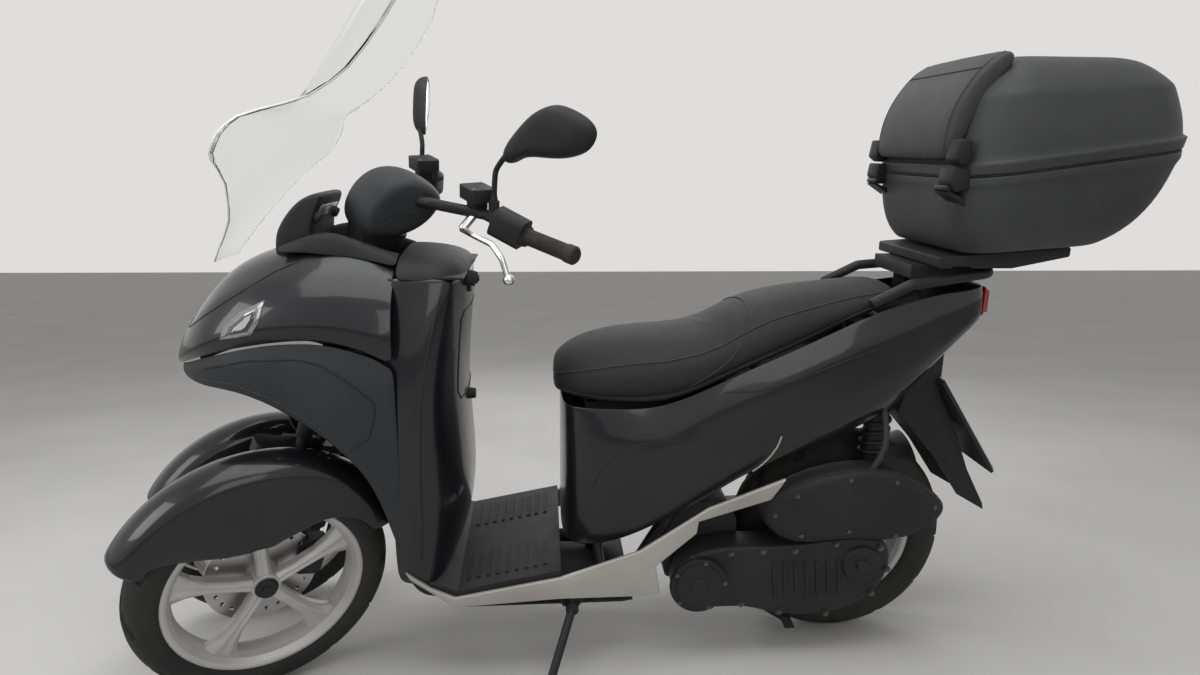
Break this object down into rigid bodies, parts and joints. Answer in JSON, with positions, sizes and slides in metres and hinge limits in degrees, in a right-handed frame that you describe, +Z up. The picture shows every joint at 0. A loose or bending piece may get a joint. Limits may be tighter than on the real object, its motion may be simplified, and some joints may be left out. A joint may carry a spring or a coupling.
{
  "type": "leaning three-wheel scooter",
  "caption": "Leaning scooter with two narrow-set front wheels and one rear wheel, tall clear windscreen and a hinged rear top box, parked on its side stand.",
  "frame": {"origin": "centre of the bounding box at floor level, as the vehicle stands leaned on its side stand", "axes": "+X forward, +Y to its left, +Z up from the floor"},
  "size_m": [2.1422, 0.8112, 1.5239],
  "materials": {
    "black_gloss": "gloss",
    "grey_matte": "matt",
    "black_matte": "matt",
    "silver_paint": "satin",
    "clear_screen": "clear",
    "frame_paint": "satin",
    "tyre": "matt",
    "rim_paint": "satin",
    "disc_steel": "brushed",
    "case_paint": "satin",
    "alloy": "polished",
    "seat_cover": "matt",
    "grip_rubber": "matt",
    "lamp": "gloss"
  },
  "bodies": {
    "chassis": {"frame": "frame_paint", "tilt_arms": "frame_paint", "side_pipes": "frame_paint", "nose_cowl": "black_gloss", "arch_panels": "grey_matte", "leg_shield": "black_gloss", "dash": "black_matte", "meter": "black_matte", "windscreen": "clear_screen", "floorboard": "black_matte", "sills": "silver_paint", "belly_pan": "black_matte", "side_covers": "black_gloss", "storage": "black_matte", "tail_lamp": "lamp", "rear_mudguard": "black_matte", "carrier": "frame_paint", "box_plate": "black_matte", "box_tray": "black_matte", "box_hinges": "frame_paint", "engine": "case_paint", "drive_case": "case_paint", "air_box": "black_matte", "muffler": "frame_paint", "rear_shocks": "frame_paint"},
    "handlebar": {"steering_column": "frame_paint", "bar_cover": "grey_matte", "grips": "grip_rubber", "switch_housings": "black_matte", "brake_levers": "alloy", "mirrors": "black_matte"},
    "seat": {"seat": "seat_cover"},
    "box_lid": {"box_lid": "black_matte", "back_pad": "seat_cover"},
    "side_stand": {"side_stand": "frame_paint"},
    "centre_stand": {"centre_stand": "frame_paint"},
    "rear_wheel": {"rear_tyre": "tyre", "rear_rim": "rim_paint", "rear_disc": "disc_steel"},
    "knuckle_left": {"fork_left": "frame_paint", "slider_left": "case_paint", "mudguard_left": "grey_matte"},
    "front_wheel_left": {"front_tyre_left": "tyre", "front_rim_left": "rim_paint", "front_disc_left": "disc_steel"},
    "tie_rod_left": {"tie_rod_left": "frame_paint"},
    "knuckle_right": {"fork_right": "frame_paint", "slider_right": "case_paint", "mudguard_right": "grey_matte"},
    "front_wheel_right": {"front_tyre_right": "tyre", "front_rim_right": "rim_paint", "front_disc_right": "disc_steel"},
    "tie_rod_right": {"tie_rod_right": "frame_paint"}
  },
  "joints": [
    {"name": "steering", "type": "hinge", "parent": "chassis", "child": "handlebar", "pos_m": [0.59837, -0.01056, 0.72623], "axis": [-0.342, 0.1227, 0.9317], "range_deg": [-62, 0]},
    {"name": "kingpin_left", "type": "hinge", "parent": "chassis", "child": "knuckle_left", "pos_m": [0.58671, 0.10199, 0.74372], "axis": [-0.342, 0.1227, 0.9317], "range_deg": [-62, 0]},
    {"name": "front_wheel_spin_left", "type": "hinge", "parent": "knuckle_left", "child": "front_wheel_left", "pos_m": [0.74523, 0.11322, 0.24141], "axis": [-0.484, 0.8268, -0.2865], "continuous": true},
    {"name": "tie_rod_hinge_left", "type": "hinge", "parent": "handlebar", "child": "tie_rod_left", "pos_m": [0.64154, 0.03505, 0.73607], "axis": [-0.342, 0.1227, 0.9317], "range_deg": [0, 62]},
    {"name": "kingpin_right", "type": "hinge", "parent": "chassis", "child": "knuckle_right", "pos_m": [0.61328, -0.12427, 0.69988], "axis": [-0.342, 0.1227, 0.9317], "range_deg": [-62, 0]},
    {"name": "front_wheel_spin_right", "type": "hinge", "parent": "knuckle_right", "child": "front_wheel_right", "pos_m": [0.84584, -0.23955, 0.24141], "axis": [-0.484, 0.8268, -0.2865], "continuous": true},
    {"name": "tie_rod_hinge_right", "type": "hinge", "parent": "handlebar", "child": "tie_rod_right", "pos_m": [0.65509, 0.0119, 0.74409], "axis": [-0.342, 0.1227, 0.9317], "range_deg": [0, 62]},
    {"name": "rear_wheel_spin", "type": "hinge", "parent": "chassis", "child": "rear_wheel", "pos_m": [-0.51319, -0.07334, 0.24932], "axis": [0, 0.9914, -0.1305], "continuous": true},
    {"name": "seat_hinge", "type": "hinge", "parent": "chassis", "child": "seat", "pos_m": [0.14681, -0.02675, 0.60327], "axis": [0, 0.9914, -0.1305], "range_deg": [0, 60]},
    {"name": "box_lid_hinge", "type": "hinge", "parent": "chassis", "child": "box_lid", "pos_m": [-0.60319, 0.03199, 1.04942], "axis": [0, 0.9914, -0.1305], "range_deg": [0, 60]},
    {"name": "side_stand_pivot", "type": "hinge", "parent": "chassis", "child": "side_stand", "pos_m": [0.11881, 0.09387, 0.1557], "axis": [0, 0.9914, -0.1305], "range_deg": [0, 85]},
    {"name": "centre_stand_pivot", "type": "hinge", "parent": "chassis", "child": "centre_stand", "pos_m": [-0.26319, -0.08601, 0.15315], "axis": [0, 0.9914, -0.1305], "range_deg": [-46, 0]}
  ],
  "couplings": [
    {"joint": "kingpin_left", "follows": "steering", "ratio": 1},
    {"joint": "tie_rod_hinge_left", "follows": "steering", "ratio": -1},
    {"joint": "kingpin_right", "follows": "steering", "ratio": 1},
    {"joint": "tie_rod_hinge_right", "follows": "steering", "ratio": -1}
  ]
}
